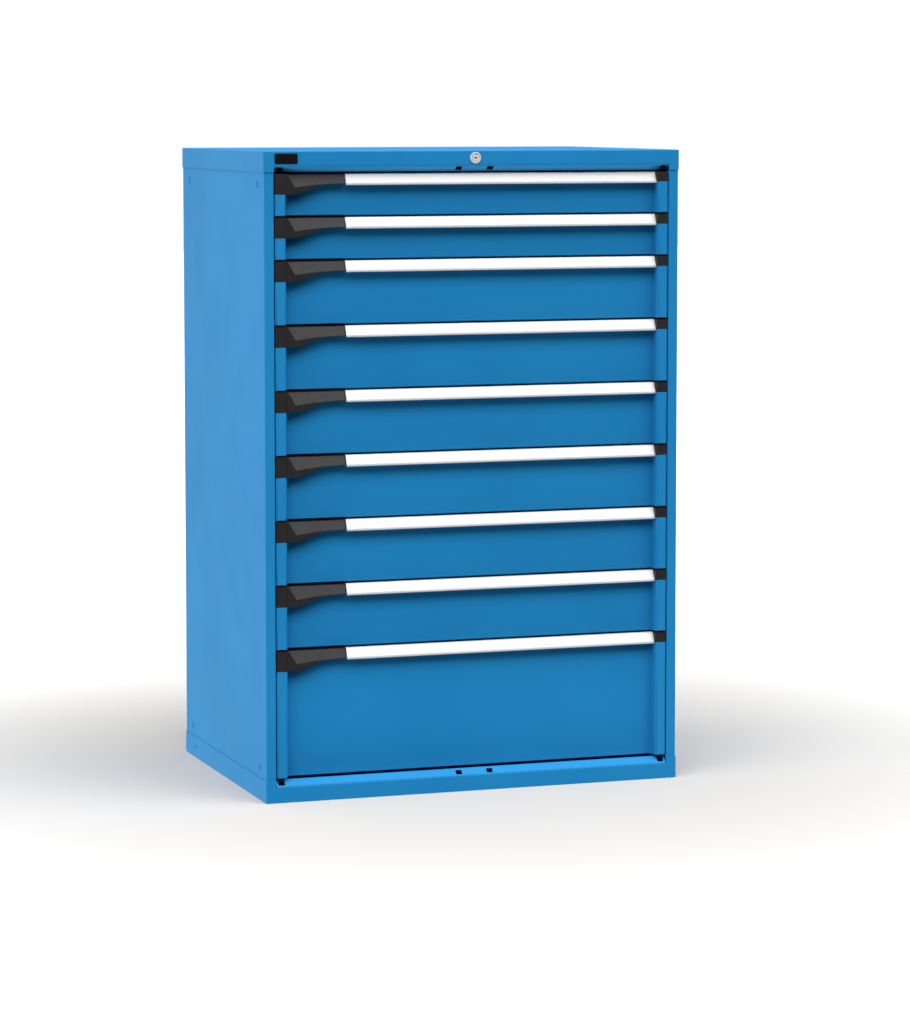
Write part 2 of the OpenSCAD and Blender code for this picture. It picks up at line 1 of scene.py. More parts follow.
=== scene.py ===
# %% [markdown]
# # A drawer cabinet of folded sheet steel
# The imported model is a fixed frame: it gives each piece its size, its place and the body that it
# moves with. This lesson models what the eye sees around that frame: sheet steel with true folds,
# moulded black plastic, labelled handles, a lock, and trays that show when a drawer slides out.

# %% Load the frame
import math

import bmesh
import bpy
from mathutils import Matrix, Vector


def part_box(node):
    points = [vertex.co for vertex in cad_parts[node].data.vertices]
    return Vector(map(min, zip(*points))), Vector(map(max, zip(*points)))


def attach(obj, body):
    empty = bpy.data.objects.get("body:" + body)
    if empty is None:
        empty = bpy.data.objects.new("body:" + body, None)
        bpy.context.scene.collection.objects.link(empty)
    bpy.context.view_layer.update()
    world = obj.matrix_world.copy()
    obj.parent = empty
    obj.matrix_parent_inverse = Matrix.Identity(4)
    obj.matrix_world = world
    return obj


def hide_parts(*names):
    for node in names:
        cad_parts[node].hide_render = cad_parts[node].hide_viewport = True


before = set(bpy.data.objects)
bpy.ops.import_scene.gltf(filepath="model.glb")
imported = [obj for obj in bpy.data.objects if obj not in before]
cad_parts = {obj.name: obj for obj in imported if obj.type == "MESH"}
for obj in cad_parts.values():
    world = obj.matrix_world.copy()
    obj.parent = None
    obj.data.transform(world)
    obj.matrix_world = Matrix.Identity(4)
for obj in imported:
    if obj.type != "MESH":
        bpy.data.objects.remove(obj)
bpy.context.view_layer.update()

MM = 0.001

# %% [markdown]
# ## Measures
# Every place is read from the frame, so a piece fits with no guessing. Only what a box can't tell,
# such as the width of a strip inside a drawer front, is written here as a size of its own.

# %% Measures of the carcass and of the drawers
cover_low, cover_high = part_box("top_cover")
plinth_low, plinth_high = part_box("base_plinth")
panel_low, panel_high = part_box("right_side_panel")
runner_low, runner_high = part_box("cabinet_runners")
first_low, first_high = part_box("drawer_1_body")
DRAWERS = range(1, 10)

RAIL_Y = cover_low.y
STRIP_Y = panel_low.y
OPEN_HW = panel_low.x
BODY_HW = panel_high.x
BODY_BACK = panel_high.y
SHEET = cover_high.x - panel_high.x
FRONT_HW = first_high.x

STRIP_W = 24 * MM
RECESS = 22 * MM
FRONT_SHEET = 1.5 * MM
TRAY_SHEET = 1 * MM
TRAY_LIFT = 8 * MM
TRAY_DROP = 24 * MM
HANDLE_TOP = 1 * MM
TRAY_HW = FRONT_HW - STRIP_W
PANEL_Y = STRIP_Y + RECESS
TRAY_Y0 = PANEL_Y + FRONT_SHEET
TRAY_Y1 = first_high.y - TRAY_SHEET


def front_low(n):
    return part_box(f"drawer_{n}_body")[0].z


def front_top(n):
    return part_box(f"drawer_{n}_handle")[1].z + HANDLE_TOP


# %% [markdown]
# ## The view
# The camera stands where the photographer stood: to the left of the cabinet, a little above its top,
# far away with a long lens. The lens is shifted down a little instead of tilting the whole camera,
# as in a studio, because that keeps the upright edges nearly parallel.

# %% The camera
IMAGE_H = 1024
FOCAL_PX = 3587.1
LENS_DROP_PX = 90
SENSOR = 36
CAMERA_PLACE = (-2.7713, -8.2374, 1.6079)
CAMERA_YAW = 0.3327
CAMERA_PITCH = -0.0879

camera_data = bpy.data.cameras.new("camera")
camera_data.sensor_width = SENSOR
camera_data.lens = FOCAL_PX / IMAGE_H * SENSOR
camera_data.shift_y = -LENS_DROP_PX / IMAGE_H
camera = bpy.data.objects.new("camera", camera_data)
camera.location = CAMERA_PLACE
camera.rotation_euler = (math.pi / 2 + CAMERA_PITCH, 0, -CAMERA_YAW)
bpy.context.scene.collection.objects.link(camera)
bpy.context.scene.camera = camera
print("camera lens", round(camera_data.lens, 1), "mm")

# %% [markdown]
# ## Tools for modelling by hand
# Modelling by hand in Blender means: add a primitive, go into edit mode, select some faces or edges,
# and run an operator on them. In a script nothing is clicked, so these helpers select by place or by
# normal instead, and each one stands for a step that a hand would do.

# %% Edit mode, selecting and cutting
TINY = 0.02 * MM


def make_active(piece):
    bpy.ops.object.select_all(action="DESELECT")
    piece.select_set(True)
    bpy.context.view_layer.objects.active = piece


def open_edit(piece):
    make_active(piece)
    bpy.ops.object.mode_set(mode="EDIT")
    bpy.ops.mesh.select_all(action="DESELECT")


def close_edit():
    bpy.ops.object.mode_set(mode="OBJECT")


def pick_faces(piece, wanted):
    """Select the faces whose centre and normal pass the test."""
    bpy.ops.mesh.select_mode(type="FACE")
    bpy.ops.mesh.select_all(action="DESELECT")
    mesh = bmesh.from_edit_mesh(piece.data)
    for face in mesh.faces:
        face.select_set(wanted(face.calc_center_median(), face.normal))
    bmesh.update_edit_mesh(piece.data)


def pick_edges(piece, wanted):
    """Select the edges whose two ends pass the test."""
    bpy.ops.mesh.select_mode(type="EDGE")
    bpy.ops.mesh.select_all(action="DESELECT")
    mesh = bmesh.from_edit_mesh(piece.data)
    for edge in mesh.edges:
        edge.select_set(wanted(edge.verts[0].co, edge.verts[1].co))
    bmesh.update_edit_mesh(piece.data)


def cut(piece, wanted, point, normal):
    """Cut the faces that pass the test along a plane."""
    pick_faces(piece, wanted)
    bpy.ops.mesh.bisect(plane_co=point, plane_no=normal, threshold=TINY / 10)


def draw_out(step):
    """Extrude what is selected."""
    bpy.ops.mesh.extrude_region_move(TRANSFORM_OT_translate={"value": tuple(step)})


print("edit helpers ready")

# %% Starting shapes, modifiers and copies of frame pieces
ALONG_X = (0, math.pi / 2, 0)
ALONG_Y = (math.pi / 2, 0, 0)
FLAT_ANGLE = math.radians(0.3)


def place_new(name):
    piece = bpy.context.object
    piece.name = name
    piece.data.name = name
    bpy.ops.object.transform_apply(location=True, rotation=True, scale=True)
    return piece


def add_block(name, low, high):
    """A cube primitive between two corners, as a start."""
    low, high = Vector(low), Vector(high)
    bpy.ops.object.select_all(action="DESELECT")
    bpy.ops.mesh.primitive_cube_add(size=1, location=(low + high) / 2)
    bpy.context.object.scale = high - low
    return place_new(name)


def add_plane(name, corner, side, run):
    """A plane primitive with a corner and two square edges, facing along side x run."""
    side, run = Vector(side), Vector(run)
    bpy.ops.object.select_all(action="DESELECT")
    bpy.ops.mesh.primitive_plane_add(size=1)
    axes = (side.normalized(), run.normalized(), side.cross(run).normalized())
    turn = Matrix(axes).transposed().to_4x4()
    middle = Matrix.Translation(Vector(corner) + side / 2 + run / 2)
    bpy.context.object.matrix_world = middle @ turn @ Matrix.Diagonal((side.length, run.length, 1, 1))
    return place_new(name)


def apply_modifier(piece, kind, **settings):
    make_active(piece)
    modifier = piece.modifiers.new(kind, kind)
    for key, value in settings.items():
        setattr(modifier, key, value)
    bpy.ops.object.modifier_apply(modifier=modifier.name)


def round_edges(piece, radius, segments=3, angle=30):
    apply_modifier(piece, "BEVEL", width=radius, segments=segments, limit_method="ANGLE",
                   angle_limit=math.radians(angle))


def thicken(piece, thickness):
    """Give a sheet its wall, behind the faces that were drawn."""
    apply_modifier(piece, "SOLIDIFY", thickness=thickness, offset=-1, use_even_offset=True)


def add_cylinder(name, centre, turn, radius, depth, sides=40):
    """A cylinder primitive about its centre, as a start."""
    bpy.ops.object.select_all(action="DESELECT")
    bpy.ops.mesh.primitive_cylinder_add(vertices=sides, radius=radius, depth=depth,
                                        location=centre, rotation=turn)
    return place_new(name)


def combine(piece, other, operation):
    """Add a second solid to the piece or take it away, and throw the second solid away."""
    apply_modifier(piece, "BOOLEAN", operation=operation, object=other, solver="EXACT")
    bpy.data.objects.remove(other)


def drill(piece, centre, turn, radius, depth):
    """Drill a round hole."""
    combine(piece, add_cylinder("cutter", centre, turn, radius, depth), "DIFFERENCE")


def join(pieces, name):
    bpy.ops.object.select_all(action="DESELECT")
    for piece in pieces:
        piece.select_set(True)
    bpy.context.view_layer.objects.active = pieces[0]
    bpy.ops.object.join()
    pieces[0].name = name
    pieces[0].data.name = name
    return pieces[0]


def moved_copy(piece, name, step):
    """A copy with a mesh of its own, moved in its mesh, so that its object stays at the origin."""
    copy = bpy.data.objects.new(name, piece.data.copy())
    copy.data.name = name
    copy.data.transform(Matrix.Translation(step))
    bpy.context.scene.collection.objects.link(copy)
    return copy


def rounded_copy(node, name, radius, segments=2, angle=35):
    """A copy of a frame piece, merged into clean faces, with its edges rounded."""
    piece = moved_copy(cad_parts[node], name, Vector())
    open_edit(piece)
    bpy.ops.mesh.select_all(action="SELECT")
    bpy.ops.mesh.customdata_custom_splitnormals_clear()
    bpy.ops.mesh.remove_doubles(threshold=TINY / 10)
    bpy.ops.mesh.dissolve_limited(angle_limit=FLAT_ANGLE)
    close_edit()
    round_edges(piece, radius, segments, angle)
    return piece


def finish(piece, body, slot, material, *nodes, crease=30):
    """Shade the piece, give it its finish, hang it on its body, and hide the frame nodes it stands for.
    """
    make_active(piece)
    bpy.ops.object.shade_smooth_by_angle(angle=math.radians(crease))
    apply_modifier(piece, "WEIGHTED_NORMAL", keep_sharp=True)
    piece.data.materials.clear()
    piece.data.materials.append(material)
    for face in piece.data.polygons:
        face.material_index = 0
    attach(piece, body)
    if nodes:
        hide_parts(*nodes)
    return piece


print("modelling helpers ready")

# %% [markdown]
# ## Finishes
# Each finish is built from nodes on Object coordinates, so a grain has its true size in metres.
# What is the same all over the surface is set on the shader itself; noise only drives what varies.

# %% A material with a grain
NOISE_LOW = 0.3
NOISE_HIGH = 0.7


def colour_from_screen(red, green, blue):
    """Turn a colour as a screen shows it, 0 to 255, into the linear colour that a shader needs."""
    values = [channel / 255 for channel in (red, green, blue)]
    return [v / 12.92 if v <= 0.04045 else ((v + 0.055) / 1.055) ** 2.4 for v in values] + [1]


def start_material(name, colour, roughness, metallic=0.0):
    material = bpy.data.materials.new(name)
    material.use_nodes = True
    shader = material.node_tree.nodes["Principled BSDF"]
    shader.inputs["Base Color"].default_value = colour
    shader.inputs["Roughness"].default_value = roughness
    shader.inputs["Metallic"].default_value = metallic
    return material, shader


def add_noise(material, scale, detail=2.0, stretch=(1, 1, 1)):
    """Noise on Object coordinates; scale is waves in a metre."""
    nodes, links = material.node_tree.nodes, material.node_tree.links
    place = nodes.new("ShaderNodeTexCoord")
    mapping = nodes.new("ShaderNodeMapping")
    mapping.inputs["Scale"].default_value = stretch
    noise = nodes.new("ShaderNodeTexNoise")
    noise.inputs["Scale"].default_value = scale
    noise.inputs["Detail"].default_value = detail
    links.new(place.outputs["Object"], mapping.inputs["Vector"])
    links.new(mapping.outputs["Vector"], noise.inputs["Vector"])
    return noise.outputs["Fac"]


def vary_colour(material, shader, noise, dark, light):
    ramp = material.node_tree.nodes.new("ShaderNodeValToRGB")
    ramp.color_ramp.elements[0].position = NOISE_LOW
    ramp.color_ramp.elements[0].color = dark
    ramp.color_ramp.elements[1].position = NOISE_HIGH
    ramp.color_ramp.elements[1].color = light
    material.node_tree.links.new(noise, ramp.inputs["Fac"])
    material.node_tree.links.new(ramp.outputs["Color"], shader.inputs["Base Color"])


def vary_roughness(material, shader, noise, low, high):
    spread = material.node_tree.nodes.new("ShaderNodeMapRange")
    spread.inputs["From Min"].default_value = NOISE_LOW
    spread.inputs["From Max"].default_value = NOISE_HIGH
    spread.inputs["To Min"].default_value = low
    spread.inputs["To Max"].default_value = high
    material.node_tree.links.new(noise, spread.inputs["Value"])
    material.node_tree.links.new(spread.outputs["Result"], shader.inputs["Roughness"])


def add_bump(material, shader, noise, height, strength=1.0):
    bump = material.node_tree.nodes.new("ShaderNodeBump")
    bump.inputs["Distance"].default_value = height
    bump.inputs["Strength"].default_value = strength
    material.node_tree.links.new(noise, bump.inputs["Height"])
    material.node_tree.links.new(bump.outputs["Normal"], shader.inputs["Normal"])


print("material helpers ready")

# %% [markdown]
# ### Blue powder coat
# Powder is baked on the steel and flows into a skin with a faint orange peel. The peel is about a
# millimetre across, so it hardly shows from a step away, but it softens every reflection. A slow
# change of tone over half a metre keeps the large panels from looking like flat paper.

# %% Blue powder coat
BLUE = colour_from_screen(36, 135, 196)
BLUE_DARK = colour_from_screen(34, 132, 193)
BLUE_LIGHT = colour_from_screen(38, 138, 199)
blue_coat, shader = start_material("blue_powder_coat", BLUE, 0.38)
shader.inputs["Specular IOR Level"].default_value = 0.06
vary_colour(blue_coat, shader, add_noise(blue_coat, 3.0), BLUE_DARK, BLUE_LIGHT)
vary_roughness(blue_coat, shader, add_noise(blue_coat, 8.0), 0.36, 0.40)
add_bump(blue_coat, shader, add_noise(blue_coat, 900.0), 0.008 * MM)
print("made", blue_coat.name)

# %% [markdown]
# ### Black moulded plastic
# Latches and end pieces are moulded in a tool with a fine spark-eroded grain, which makes them
# matt. The grain is bump with waves of about half a millimetre. The badge plate has a smooth black
# enamel, darker than the plastic.

# %% Black plastic and black enamel
BLACK = colour_from_screen(34, 32, 32)
BLACK_WORN = colour_from_screen(40, 38, 38)
black_plastic, shader = start_material("black_plastic_grain", BLACK, 0.5)
shader.inputs["Specular IOR Level"].default_value = 0.3
vary_colour(black_plastic, shader, add_noise(black_plastic, 40.0), BLACK, BLACK_WORN)
vary_roughness(black_plastic, shader, add_noise(black_plastic, 250.0), 0.45, 0.6)
add_bump(black_plastic, shader, add_noise(black_plastic, 2200.0, 3.0), 0.03 * MM)

BADGE_BLACK = colour_from_screen(18, 18, 18)
black_enamel, shader = start_material("black_enamel", BADGE_BLACK, 0.35)
shader.inputs["Specular IOR Level"].default_value = 0.3
vary_roughness(black_enamel, shader, add_noise(black_enamel, 300.0), 0.3, 0.4)
print("made", black_plastic.name, "and", black_enamel.name)

# %% [markdown]
# ### Handle, label and metal finishes
# The handle is drawn aluminium with a matt anodised skin, which scatters light almost like a pale
# paint, so it is only partly metallic. Its grain runs along the handle, so the noise is stretched
# along X. The label is white card behind a clear strip, which is a coat on a matt white. The runners
# are zinc plated, a dull grey with soft patches, and the lock is nickel with a satin brush.

# %% Aluminium, card, zinc and nickel
ALUMINIUM = (0.76, 0.76, 0.79, 1)
CARD, CARD_DARK, CARD_LIGHT = (0.77, 0.77, 0.76, 1), (0.76, 0.76, 0.75, 1), (0.78, 0.78, 0.77, 1)
ZINC, ZINC_DARK, ZINC_LIGHT = (0.52, 0.54, 0.56, 1), (0.46, 0.48, 0.50, 1), (0.58, 0.60, 0.62, 1)
NICKEL = (0.90, 0.89, 0.87, 1)

satin_aluminium, shader = start_material("satin_aluminium", ALUMINIUM, 0.45, 0.2)
vary_roughness(satin_aluminium, shader, add_noise(satin_aluminium, 900.0, 2.0, (0.02, 1, 1)), 0.38, 0.52)
add_bump(satin_aluminium, shader, add_noise(satin_aluminium, 1500.0, 2.0, (0.01, 1, 1)), 0.01 * MM)

label_card, shader = start_material("label_card", CARD, 0.6)
shader.inputs["Coat Weight"].default_value = 0.6
shader.inputs["Coat Roughness"].default_value = 0.12
vary_colour(label_card, shader, add_noise(label_card, 400.0, 4.0), CARD_DARK, CARD_LIGHT)

zinc_plate, shader = start_material("zinc_plate", ZINC, 0.4, 1.0)
vary_colour(zinc_plate, shader, add_noise(zinc_plate, 90.0, 3.0), ZINC_DARK, ZINC_LIGHT)
vary_roughness(zinc_plate, shader, add_noise(zinc_plate, 160.0), 0.32, 0.5)
add_bump(zinc_plate, shader, add_noise(zinc_plate, 700.0), 0.01 * MM)

bright_nickel, shader = start_material("bright_nickel", NICKEL, 0.3, 0.2)
vary_roughness(bright_nickel, shader, add_noise(bright_nickel, 1200.0), 0.24, 0.36)
print("made", [m.name for m in (satin_aluminium, label_card, zinc_plate, bright_nickel)])

# %% [markdown]
# ## The top cover and the base plinth
# Both are pans of sheet steel. The front skirt between the posts ends in a lip, folded back at
# 45 degrees and then level, with four slots that take the tabs of doors, and a slit at each end
# frees the lip from the rest of the skirt. A block would look too sharp, so the pan starts as a
# cube that loses its open face, gets rounded folds, is cut along the lip and is folded there. Last
# comes the thickness of the sheet.

# %% A pan with a folded lip
FOLD_R = 2.5 * MM
LIP_FOLD_R = 3.5 * MM
LIP_DROP = 14 * MM
LIP_RETURN = 8 * MM
LIP_SLIT = 1.5 * MM
LIP_HW = OPEN_HW - LIP_SLIT
SLOT_W = 15 * MM
SLOT_L = 12 * MM
SLOT_MID_X = 38.5 * MM
SLOT_END = 12.5 * MM
SLOT_END_X = LIP_HW - SLOT_END
SLOT_PLACES = (-SLOT_END_X, -SLOT_MID_X, SLOT_MID_X, SLOT_END_X)


def rail_pan(name, low, high, up):
    """up is 1 for a pan that is open above, -1 for one that is open below."""
    rim_z = high.z if up > 0 else low.z
    fold_z = rim_z - up * LIP_DROP
    pan = add_block(name, low, high)
    open_edit(pan)
    pick_faces(pan, lambda centre, normal: normal.z * up > 0.9)
    bpy.ops.mesh.delete(type="ONLY_FACE")
    pick_edges(pan, lambda a, b: min(abs(a.z - rim_z), abs(b.z - rim_z)) > TINY or abs(a.z - b.z) > TINY)
    bpy.ops.mesh.bevel(offset=FOLD_R, segments=4, affect="EDGES")

    def skirt(centre, normal):
        return normal.y < -0.99

    def skirt_end(centre, normal):
        return skirt(centre, normal) and (centre.z - fold_z) * up > 0

    def lip(centre, normal):
        return normal.y < -0.5 and normal.z * up > 0.5

    cut(pan, skirt, (0, 0, fold_z), (0, 0, 1))
    for x in (-OPEN_HW, -LIP_HW, LIP_HW, OPEN_HW):
        cut(pan, skirt_end, (x, 0, 0), (1, 0, 0))
    pick_faces(pan, lambda centre, normal: skirt_end(centre, normal) and LIP_HW < abs(centre.x) < OPEN_HW)
    bpy.ops.mesh.delete(type="FACE")
    pick_edges(pan, lambda a, b: all(abs(end.z - rim_z) < TINY and abs(end.y - low.y) < TINY
                                     and abs(end.x) < LIP_HW + TINY for end in (a, b)))
    bpy.ops.transform.translate(value=(0, LIP_DROP, 0))
    draw_out((0, LIP_RETURN, 0))

    slope = Vector((0, 1, up)).normalized()
    middle = Vector((0, low.y + LIP_DROP / 2, fold_z + up * LIP_DROP / 2))
    for x in SLOT_PLACES:
        for side in (-1, 1):
            cut(pan, lip, (x + side * SLOT_W / 2, 0, 0), (1, 0, 0))
    for side in (-1, 1):
        cut(pan, lip, middle + slope * (side * SLOT_L / 2), slope)
    pick_faces(pan, lambda centre, normal: lip(centre, normal)
               and abs((centre - middle).dot(slope)) < SLOT_L / 2
               and any(abs(centre.x - x) < SLOT_W / 2 for x in SLOT_PLACES))
    bpy.ops.mesh.delete(type="FACE")
    close_edit()
    round_edges(pan, LIP_FOLD_R)
    thicken(pan, SHEET)
    return pan


lock_low, lock_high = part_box("lock_barrel")
LOCK_PLACE = Vector((0, RAIL_Y, (lock_low.z + lock_high.z) / 2))
LOCK_HOLE_R = 9.6 * MM
LOCK_HOLE_DEPTH = 8 * SHEET
top_cover = rail_pan("top_cover_sheet", cover_low, cover_high, -1)
drill(top_cover, LOCK_PLACE, ALONG_Y, LOCK_HOLE_R, LOCK_HOLE_DEPTH)
finish(top_cover, "cabinet", "blue_paint", blue_coat, "top_cover")

ANCHOR_R = 4.5 * MM
ANCHOR_BACK = 92 * MM
ANCHOR_Z = 27 * MM
ANCHOR_PLACE = Vector((0, plinth_high.y - ANCHOR_BACK, plinth_low.z + ANCHOR_Z))
plinth = rail_pan("base_plinth_sheet", plinth_low, plinth_high, 1)
drill(plinth, ANCHOR_PLACE, ALONG_X, ANCHOR_R, 3 * BODY_HW)
finish(plinth, "cabinet", "blue_paint", blue_coat, "base_plinth")
print("pans:", len(top_cover.data.polygons), "and", len(plinth.data.polygons), "faces")

# %% [markdown]
# ## Side panels
# A side panel, its front post and its rear flange are one sheet, folded four times. The sheet is
# drawn as a strip: one plane, then the free edge extruded from corner to corner of the plan. The
# corners are rounded while the sheet has no thickness, and Solidify then gives the inner and the
# outer radius that a press brake leaves.

# %% Sheets that follow a path


def fold_sheet(name, path, run, thickness, radius=FOLD_R):
    """A sheet through the corner points of a path, drawn along run, facing along path x run."""
    path = [Vector(point) for point in path]
    step = path[1] - path[0]
    piece = add_plane(name, path[0], step, run)
    open_edit(piece)
    direction = step.normalized()
    pick_edges(piece, lambda a, b: all(abs((end - path[1]).dot(direction)) < TINY for end in (a, b)))
    for here, there in zip(path[1:], path[2:]):
        draw_out(there - here)
    close_edit()
    if radius:
        round_edges(piece, radius, 4)
        thicken(piece, thickness)
    return piece


POST_RETURN = 12 * MM
REAR_FLANGE = 22 * MM
panel_run = Vector((0, 0, panel_high.z - panel_low.z))
right_plan = [(OPEN_HW, STRIP_Y + POST_RETURN), (OPEN_HW, STRIP_Y), (BODY_HW, STRIP_Y),
              (BODY_HW, BODY_BACK), (BODY_HW - REAR_FLANGE, BODY_BACK)]
right_path = [(x, y, panel_low.z) for x, y in right_plan]
left_path = [(-x, y, panel_low.z) for x, y in reversed(right_plan)]
right_panel = fold_sheet("right_side_sheet", right_path, panel_run, SHEET)
left_panel = fold_sheet("left_side_sheet", left_path, panel_run, SHEET)
finish(right_panel, "cabinet", "blue_paint", blue_coat, "right_side_panel")
finish(left_panel, "cabinet", "blue_paint", blue_coat, "left_side_panel")
print("side panels:", len(right_panel.data.polygons), "faces each")

# %% [markdown]
# ## Plugs, badge plate and back
# Small steel plugs close four holes in each side, a bare black plate sits at the left of the top
# rail, and the back panel is riveted to the rear flanges. The plugs are copies of the frame's own
# with rounded heads. The plate is a cube whose corners are rounded first and whose front edge is
# eased after that.

# %% Plugs and badge plate
PLUG_EDGE_R = 0.6 * MM
plugs = rounded_copy("side_plugs", "side_plug_heads", PLUG_EDGE_R, 3)
finish(plugs, "cabinet", "blue_paint", blue_coat, "side_plugs")

BADGE_CORNER_R = 3.5 * MM
BADGE_EDGE_R = 0.35 * MM
badge = add_block("badge_blank", *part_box("badge_plate"))
open_edit(badge)
pick_edges(badge, lambda a, b: abs(a.y - b.y) > TINY)
bpy.ops.mesh.bevel(offset=BADGE_CORNER_R, segments=6, affect="EDGES")
badge_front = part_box("badge_plate")[0].y
pick_edges(badge, lambda a, b: max(abs(a.y - badge_front), abs(b.y - badge_front)) < TINY)
bpy.ops.mesh.bevel(offset=BADGE_EDGE_R, segments=2, affect="EDGES")
close_edit()
finish(badge, "cabinet", "black_plastic", black_enamel, "badge_plate")
print("badge plate:", len(badge.data.polygons), "faces")

# %% Back panel and its rivets
RIVET_R = 4 * MM
RIVET_H = 1.2 * MM
RIVET_ROUND = 0.9 * RIVET_H
RIVET_ROWS = 7
BACK_EDGE_R = 0.4 * MM
back_panel = rounded_copy("back_panel", "back_sheet", BACK_EDGE_R)
finish(back_panel, "cabinet", "blue_paint", blue_coat, "back_panel")

rivet = add_cylinder("rivet", (0, BODY_BACK, 0), ALONG_Y, RIVET_R, 2 * RIVET_H, sides=20)
open_edit(rivet)
pick_edges(rivet, lambda a, b: min(a.y, b.y) > BODY_BACK + RIVET_H / 2)
bpy.ops.mesh.bevel(offset=RIVET_ROUND, segments=3, affect="EDGES")
close_edit()
free_height = panel_high.z - panel_low.z - plinth_high.z - (cover_high.z - cover_low.z)
rivet_gap = free_height / (RIVET_ROWS + 1)
rivets = []
for row in range(1, RIVET_ROWS + 1):
    for side in (-1, 1):
        step = Vector((side * (BODY_HW - REAR_FLANGE / 2), 0, plinth_high.z + row * rivet_gap))
        rivets.append(moved_copy(rivet, "rivet_copy", step))
bpy.data.objects.remove(rivet)
rivets = join(rivets, "back_rivets")
finish(rivets, "cabinet", "zinc", zinc_plate)
print("rivets:", 2 * RIVET_ROWS)

# %% [markdown]
# ## Drawer fronts
# One sheet makes a drawer front: a strip at each end, flush with the posts, and a panel set back
# between them so that fingers fit under the handle. It is drawn in plan from the left fold to the
# right fold. The ends are then cut off where the black end pieces of the handle sit, and the lower
# edges are folded back, clear of the corners, as a press would need.

# %% A drawer front
WALL_X = TRAY_HW - FRONT_SHEET
STRIP_RETURN = 11 * MM
HOUSING_H = 48 * MM
CAP_H = 24 * MM
CORNER_RELIEF = 4 * MM
PANEL_TOP = 3 * MM
FRONT_PLAN = [(-FRONT_HW, STRIP_Y + STRIP_RETURN), (-FRONT_HW, STRIP_Y),
              (-WALL_X, STRIP_Y), (-WALL_X, PANEL_Y), (WALL_X, PANEL_Y), (WALL_X, STRIP_Y),
              (FRONT_HW, STRIP_Y), (FRONT_HW, STRIP_Y + STRIP_RETURN)]


def drawer_front(n):
    low, top = front_low(n), front_top(n)
    path = [(x, y, low) for x, y in FRONT_PLAN]
    front = fold_sheet(f"drawer_{n}_front", path, (0, 0, top - PANEL_TOP - low), FRONT_SHEET, radius=0)
    open_edit(front)
    for side, end_z in ((-1, top - HOUSING_H), (1, top - CAP_H)):
        def end_faces(centre, normal):
            return centre.x * side > WALL_X - TINY

        cut(front, end_faces, (0, 0, end_z), (0, 0, 1))
        pick_faces(front, lambda centre, normal: end_faces(centre, normal) and centre.z > end_z)
        bpy.ops.mesh.delete(type="FACE")

    def foot(y, x0, x1):
        """Cut a tab free of the corners and fold its lower edge back."""
        def face_at_y(centre, normal):
            return abs(centre.y - y) < TINY and normal.y < -0.9

        for x in (x0, x1):
            cut(front, face_at_y, (x, 0, 0), (1, 0, 0))
        pick_edges(front, lambda a, b: all(abs(end.z - low) < TINY and abs(end.y - y) < TINY
                                           and x0 - TINY < end.x < x1 + TINY for end in (a, b)))
        draw_out((0, STRIP_RETURN, 0))

    foot(PANEL_Y, -WALL_X + CORNER_RELIEF, WALL_X - CORNER_RELIEF)
    for side in (-1, 1):
        ends = sorted((side * (WALL_X + CORNER_RELIEF), side * (FRONT_HW - CORNER_RELIEF)))
        foot(STRIP_Y, *ends)
    close_edit()
    round_edges(front, FOLD_R, 4)
    thicken(front, FRONT_SHEET)
    return finish(front, f"drawer_{n}", "blue_paint", blue_coat, f"drawer_{n}_body")


for n in DRAWERS:
    front = drawer_front(n)
print("drawer fronts:", len(front.data.polygons), "faces each")

# %% [markdown]
# ## Trays
# Behind each front is a tray of thin sheet. Its walls are punched with rows of slots, 17 mm apart,
# that hold dividers. One cell is modelled: a plane, an inset, and the inner face deleted. Array
# repeats it along the wall and up the wall, the top edge is folded out as a rim, and Solidify gives
# the sheet. The runner channels and the lock bracket are welded to the outside of the tray.

# %% A punched wall
CELL = 17 * MM
SLOT_MARGIN = 7 * MM
ROW_H = 28 * MM
RIM = 6 * MM
RIM_R = 1.5 * MM


def punched_wall(name, corner, along, cells, height, rim):
    """A wall from a corner, cells long, that faces along x up; rim is the fold at its top."""
    rows = round(height / ROW_H)
    direction = Vector(along)
    wall = add_plane(name, corner, direction * CELL, (0, 0, height / rows))
    open_edit(wall)
    bpy.ops.mesh.select_all(action="SELECT")
    bpy.ops.mesh.inset(thickness=SLOT_MARGIN)
    bpy.ops.mesh.delete(type="FACE")
    close_edit()
    for count, offset in ((cells, direction * CELL), (rows, Vector((0, 0, height / rows)))):
        apply_modifier(wall, "ARRAY", count=count, use_relative_offset=False, use_constant_offset=True,
                       constant_offset_displace=offset, use_merge_vertices=True, merge_threshold=TINY)
    top_z = corner[2] + height
    open_edit(wall)
    pick_edges(wall, lambda a, b: min(a.z, b.z) > top_z - TINY)
    draw_out(rim)
    close_edit()
    round_edges(wall, RIM_R, 2)
    thicken(wall, TRAY_SHEET)
    return wall


print("punched wall helper ready, slots", round((CELL - 2 * SLOT_MARGIN) / MM), "mm wide")

# %% A tray with its channels and lock bracket
RUNNER_LIFT = 4 * MM
RUNNER_H = 40 * MM
RUNNER_WALL = 1.5 * MM
CHANNEL_FOLD_R = 1.2 * RUNNER_WALL
CHANNEL_GAP = 1.5 * MM
CHANNEL_D = (runner_high.x - TRAY_HW - CHANNEL_GAP) / 2
BRACKET_LIFT = 57 * MM
BRACKET_H = 8 * MM
BRACKET_T = 4 * MM
BRACKET_EDGE_R = 0.5 * MM
TOOTH_GAP = 1 * MM
BRACKET_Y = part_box("lock_bar")[1].y + TOOTH_GAP
BOTTOM_LIP = 9 * MM
WIDE_CELLS = 54
DEEP_CELLS = 36


